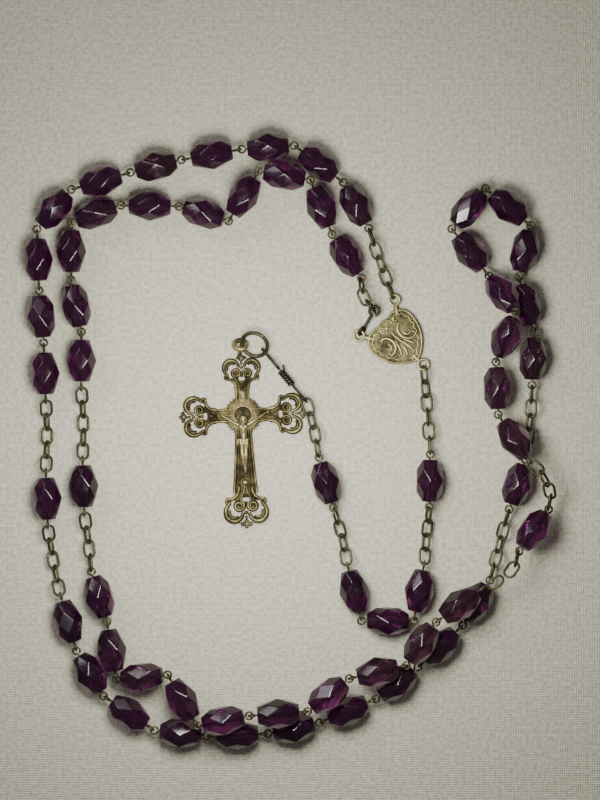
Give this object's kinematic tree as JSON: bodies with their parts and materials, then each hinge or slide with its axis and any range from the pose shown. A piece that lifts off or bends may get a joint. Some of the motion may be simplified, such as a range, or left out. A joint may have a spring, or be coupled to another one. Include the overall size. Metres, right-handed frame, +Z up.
{
  "type": "rosary",
  "caption": "Laid-out five-decade rosary: faceted glass beads on eye pins, oval chain, heart centrepiece, wire-repaired pendant and an openwork crucifix with its figure.",
  "frame": {"origin": "centre of the heart centrepiece's flat back, on the plane that the rosary lies on", "axes": "+Y along the rosary's length, from the crucifix's foot toward the heart's top edge and the right-hand strand; +Z up from the plane"},
  "size_m": [0.102, 0.1184, 0.0104],
  "materials": {
    "amethyst_glass": "polished, pressed facets with worn edges",
    "chain_brass": "dark olive-brown antique patina, rubbed on the bends",
    "heart_brass": "cast, pale antique gold, dark in the recesses",
    "crucifix_brass": "cast, worn gold on the relief, dark in the recesses",
    "repair_wire": "dark brown oxidised wire"
  },
  "bodies": {
    "heart": {"heart_centrepiece": "heart_brass"},
    "outer_1": {"outer_chain_1": "chain_brass", "decade_1_upper_beads": "amethyst_glass", "decade_1_upper_pins": "chain_brass"},
    "outer_2": {"decade_1_lower_beads": "amethyst_glass", "decade_1_lower_pins": "chain_brass"},
    "outer_3": {"outer_chain_2": "chain_brass"},
    "outer_4": {"our_father_1_pin": "chain_brass"},
    "our_father_1": {"our_father_1_bead": "amethyst_glass"},
    "outer_5": {"outer_chain_3": "chain_brass"},
    "outer_6": {"decade_2_upper_beads": "amethyst_glass", "decade_2_upper_pins": "chain_brass"},
    "outer_7": {"decade_2_lower_beads": "amethyst_glass", "decade_2_lower_pins": "chain_brass", "outer_chain_4": "chain_brass"},
    "outer_8": {"our_father_4_pin": "chain_brass", "outer_chain_5": "chain_brass", "decade_3_outer_beads": "amethyst_glass", "decade_3_outer_pins": "chain_brass"},
    "our_father_4": {"our_father_4_bead": "amethyst_glass"},
    "inner_1": {"repair_hook": "repair_wire", "inner_chain_1": "chain_brass", "decade_5_upper_beads": "amethyst_glass", "decade_5_upper_pins": "chain_brass"},
    "inner_2": {"decade_5_lower_beads": "amethyst_glass", "decade_5_lower_pins": "chain_brass"},
    "inner_3": {"inner_chain_2": "chain_brass"},
    "inner_4": {"our_father_3_pin": "chain_brass"},
    "our_father_3": {"our_father_3_bead": "amethyst_glass"},
    "inner_5": {"inner_chain_3": "chain_brass"},
    "inner_6": {"decade_4_upper_beads": "amethyst_glass", "decade_4_upper_pins": "chain_brass"},
    "inner_7": {"decade_4_lower_beads": "amethyst_glass", "decade_4_lower_pins": "chain_brass", "inner_chain_4": "chain_brass", "our_father_2_pin": "chain_brass"},
    "our_father_2": {"our_father_2_bead": "amethyst_glass"},
    "inner_8": {"inner_chain_5": "chain_brass", "decade_3_inner_beads": "amethyst_glass", "decade_3_inner_pins": "chain_brass"},
    "pendant_a": {"pendant_chain_1": "chain_brass"},
    "pendant_b": {"pendant_pin_1": "chain_brass"},
    "our_father_p1": {"pendant_bead_1": "amethyst_glass"},
    "pendant_c": {"pendant_chain_2": "chain_brass"},
    "pendant_d": {"pendant_pin_2": "chain_brass"},
    "hail_mary_1": {"pendant_bead_2": "amethyst_glass"},
    "pendant_e": {"pendant_pin_3": "chain_brass"},
    "hail_mary_2": {"pendant_bead_3": "amethyst_glass"},
    "pendant_f": {"pendant_pin_4": "chain_brass"},
    "hail_mary_3": {"pendant_bead_4": "amethyst_glass"},
    "pendant_g": {"pendant_chain_3": "chain_brass"},
    "pendant_h": {"pendant_pin_5": "chain_brass"},
    "our_father_p5": {"pendant_bead_5": "amethyst_glass"},
    "pendant_i": {"pendant_chain_4": "chain_brass"},
    "tie": {"twisted_wire": "repair_wire"},
    "ring": {"jump_ring": "chain_brass"},
    "crucifix": {"crucifix_cross": "crucifix_brass", "crucifix_corpus": "crucifix_brass"}
  },
  "joints": [
    {"name": "fold_top_outer", "type": "hinge", "parent": "heart", "child": "outer_1", "pos_m": [-0.00431, 0.00431, 0.0012], "axis": [-0.7071, -0.7071, 0], "range_deg": [-15, 12]},
    {"name": "fold_top_inner", "type": "hinge", "parent": "heart", "child": "inner_1", "pos_m": [-0.00431, 0.00431, 0.0012], "axis": [-0.7071, -0.7071, 0], "range_deg": [-15, 12]},
    {"name": "fold_left_top_outer", "type": "hinge", "parent": "outer_1", "child": "outer_2", "pos_m": [-0.04213, 0.03032, 0.00299], "axis": [-0.1992, -0.9799, 0], "range_deg": [-30, 30]},
    {"name": "fold_left_top_inner", "type": "hinge", "parent": "inner_1", "child": "inner_2", "pos_m": [-0.04213, 0.03032, 0.00299], "axis": [-0.1992, -0.9799, 0], "range_deg": [-30, 30]},
    {"name": "fold_left_1_outer", "type": "hinge", "parent": "outer_2", "child": "outer_3", "pos_m": [-0.06453, -0.01045, 0.00299], "axis": [0.9414, 0.3373, 0], "range_deg": [-20, 20]},
    {"name": "fold_left_1_inner", "type": "hinge", "parent": "inner_2", "child": "inner_3", "pos_m": [-0.06453, -0.01045, 0.00299], "axis": [0.9414, 0.3373, 0], "range_deg": [-20, 20]},
    {"name": "fold_left_2_outer", "type": "hinge", "parent": "outer_3", "child": "outer_4", "pos_m": [-0.06441, -0.02402, 0.00299], "axis": [0.947, 0.3213, 0], "range_deg": [-20, 20]},
    {"name": "fold_left_2_inner", "type": "hinge", "parent": "inner_3", "child": "inner_4", "pos_m": [-0.06441, -0.02402, 0.00299], "axis": [0.947, 0.3213, 0], "range_deg": [-20, 20]},
    {"name": "fold_left_3_outer", "type": "hinge", "parent": "outer_4", "child": "outer_5", "pos_m": [-0.06407, -0.03447, 0.00299], "axis": [0.9457, 0.3252, 0], "range_deg": [-20, 20]},
    {"name": "fold_left_3_inner", "type": "hinge", "parent": "inner_4", "child": "inner_5", "pos_m": [-0.06407, -0.03447, 0.00299], "axis": [0.9457, 0.3252, 0], "range_deg": [-20, 20]},
    {"name": "fold_left_4_outer", "type": "hinge", "parent": "outer_5", "child": "outer_6", "pos_m": [-0.06223, -0.04641, 0.00302], "axis": [0.7404, 0.6721, 0], "range_deg": [-20, 20]},
    {"name": "fold_left_4_inner", "type": "hinge", "parent": "inner_5", "child": "inner_6", "pos_m": [-0.06223, -0.04641, 0.00302], "axis": [0.7404, 0.6721, 0], "range_deg": [-20, 20]},
    {"name": "fold_bottom_outer", "type": "hinge", "parent": "outer_6", "child": "outer_7", "pos_m": [-0.04571, -0.06939, 0.00421], "axis": [0.348, 0.9375, 0], "range_deg": [-7, 7]},
    {"name": "fold_bottom_inner", "type": "hinge", "parent": "inner_6", "child": "inner_7", "pos_m": [-0.04571, -0.06939, 0.00421], "axis": [0.348, 0.9375, 0], "range_deg": [-7, 7]},
    {"name": "fold_right_outer", "type": "hinge", "parent": "outer_7", "child": "outer_8", "pos_m": [0.02484, -0.03253, 0.00368], "axis": [0.9877, 0.1562, 0], "range_deg": [-8, 8]},
    {"name": "fold_right_inner", "type": "hinge", "parent": "inner_7", "child": "inner_8", "pos_m": [0.02484, -0.03253, 0.00368], "axis": [0.9877, 0.1562, 0], "range_deg": [-8, 8]},
    {"name": "pendant_chain_1_swing", "type": "hinge", "parent": "heart", "child": "pendant_a", "pos_m": [0.00475, -0.00566, 0.0012], "axis": [0.9962, 0.0872, 0], "range_deg": [-35, 35]},
    {"name": "pendant_pin_1_swing", "type": "hinge", "parent": "pendant_a", "child": "pendant_b", "pos_m": [0.00589, -0.02127, 0.00313], "axis": [-0.9998, -0.0174, 0], "range_deg": [-35, 35]},
    {"name": "pendant_chain_2_swing", "type": "hinge", "parent": "pendant_b", "child": "pendant_c", "pos_m": [0.00569, -0.03273, 0.00313], "axis": [0.999, -0.0436, 0], "range_deg": [-35, 35]},
    {"name": "pendant_pin_2_swing", "type": "hinge", "parent": "pendant_c", "child": "pendant_d", "pos_m": [0.00476, -0.04299, 0.00308], "axis": [-0.9903, 0.1392, 0], "range_deg": [-30, 30]},
    {"name": "pendant_pin_3_swing", "type": "hinge", "parent": "pendant_d", "child": "pendant_e", "pos_m": [0.00347, -0.05394, 0.00308], "axis": [0.6428, -0.766, 0], "range_deg": [-30, 30]},
    {"name": "pendant_pin_4_swing", "type": "hinge", "parent": "pendant_e", "child": "pendant_f", "pos_m": [-0.00799, -0.05394, 0.00308], "axis": [0.6157, 0.788, 0], "range_deg": [-30, 30]},
    {"name": "pendant_chain_3_swing", "type": "hinge", "parent": "pendant_f", "child": "pendant_g", "pos_m": [-0.01004, -0.04318, 0.00308], "axis": [-0.9799, -0.1994, 0], "range_deg": [-30, 30]},
    {"name": "pendant_pin_5_swing", "type": "hinge", "parent": "pendant_g", "child": "pendant_h", "pos_m": [-0.0125, -0.03288, 0.00322], "axis": [0.9563, 0.2924, 0], "range_deg": [-30, 30]},
    {"name": "pendant_chain_4_swing", "type": "hinge", "parent": "pendant_h", "child": "pendant_i", "pos_m": [-0.01565, -0.02187, 0.00322], "axis": [-0.9763, -0.2164, 0], "range_deg": [-35, 35]},
    {"name": "tie_swing", "type": "hinge", "parent": "pendant_i", "child": "tie", "pos_m": [-0.01806, -0.01127, 0.00231], "axis": [0.8788, 0.4772, 0], "range_deg": [-6, 12]},
    {"name": "ring_swing", "type": "hinge", "parent": "tie", "child": "ring", "pos_m": [-0.02636, -0.00173, 0.00178], "axis": [-0.766, -0.6428, 0], "range_deg": [-7, 1]},
    {"name": "crucifix_swing", "type": "hinge", "parent": "ring", "child": "crucifix", "pos_m": [-0.03031, -0.00087, 0.00148], "axis": [0, -1, 0], "range_deg": [-8, 1]},
    {"name": "our_father_1_spin", "type": "hinge", "parent": "outer_4", "child": "our_father_1", "pos_m": [-0.06774, -0.03045, 0.00301], "axis": [0.0349, -0.9994, 0], "continuous": true},
    {"name": "our_father_4_spin", "type": "hinge", "parent": "outer_8", "child": "our_father_4", "pos_m": [0.0226, -0.02772, 0.00301], "axis": [0.309, 0.9511, 0], "continuous": true},
    {"name": "our_father_3_spin", "type": "hinge", "parent": "inner_4", "child": "our_father_3", "pos_m": [-0.06069, -0.02805, 0.00299], "axis": [0.0349, -0.9994, 0], "continuous": true},
    {"name": "our_father_2_spin", "type": "hinge", "parent": "inner_7", "child": "our_father_2", "pos_m": [0.02548, -0.03636, 0.00563], "axis": [0.5864, 0.7782, -0.2249], "continuous": true},
    {"name": "pendant_bead_1_spin", "type": "hinge", "parent": "pendant_b", "child": "our_father_p1", "pos_m": [0.00579, -0.027, 0.00313], "axis": [-0.0174, -0.9998, 0], "continuous": true},
    {"name": "pendant_bead_2_spin", "type": "hinge", "parent": "pendant_d", "child": "hail_mary_1", "pos_m": [0.00381, -0.04814, 0.00308], "axis": [-0.1736, -0.9848, 0], "continuous": true},
    {"name": "pendant_bead_3_spin", "type": "hinge", "parent": "pendant_e", "child": "hail_mary_2", "pos_m": [-0.00226, -0.05394, 0.00308], "axis": [-1, 0, 0], "continuous": true},
    {"name": "pendant_bead_4_spin", "type": "hinge", "parent": "pendant_f", "child": "hail_mary_3", "pos_m": [-0.00873, -0.04823, 0.00308], "axis": [-0.2419, 0.9703, 0], "continuous": true},
    {"name": "pendant_bead_5_spin", "type": "hinge", "parent": "pendant_h", "child": "our_father_p5", "pos_m": [-0.01408, -0.02738, 0.00322], "axis": [-0.2756, 0.9613, 0], "continuous": true}
  ],
  "couplings": [
    {"joint": "fold_top_inner", "follows": "fold_top_outer", "ratio": 1},
    {"joint": "fold_left_top_inner", "follows": "fold_left_top_outer", "ratio": 1},
    {"joint": "fold_left_1_inner", "follows": "fold_left_1_outer", "ratio": 1},
    {"joint": "fold_left_2_inner", "follows": "fold_left_2_outer", "ratio": 1},
    {"joint": "fold_left_3_inner", "follows": "fold_left_3_outer", "ratio": 1},
    {"joint": "fold_left_4_inner", "follows": "fold_left_4_outer", "ratio": 1},
    {"joint": "fold_bottom_inner", "follows": "fold_bottom_outer", "ratio": 1},
    {"joint": "fold_right_inner", "follows": "fold_right_outer", "ratio": 1}
  ]
}
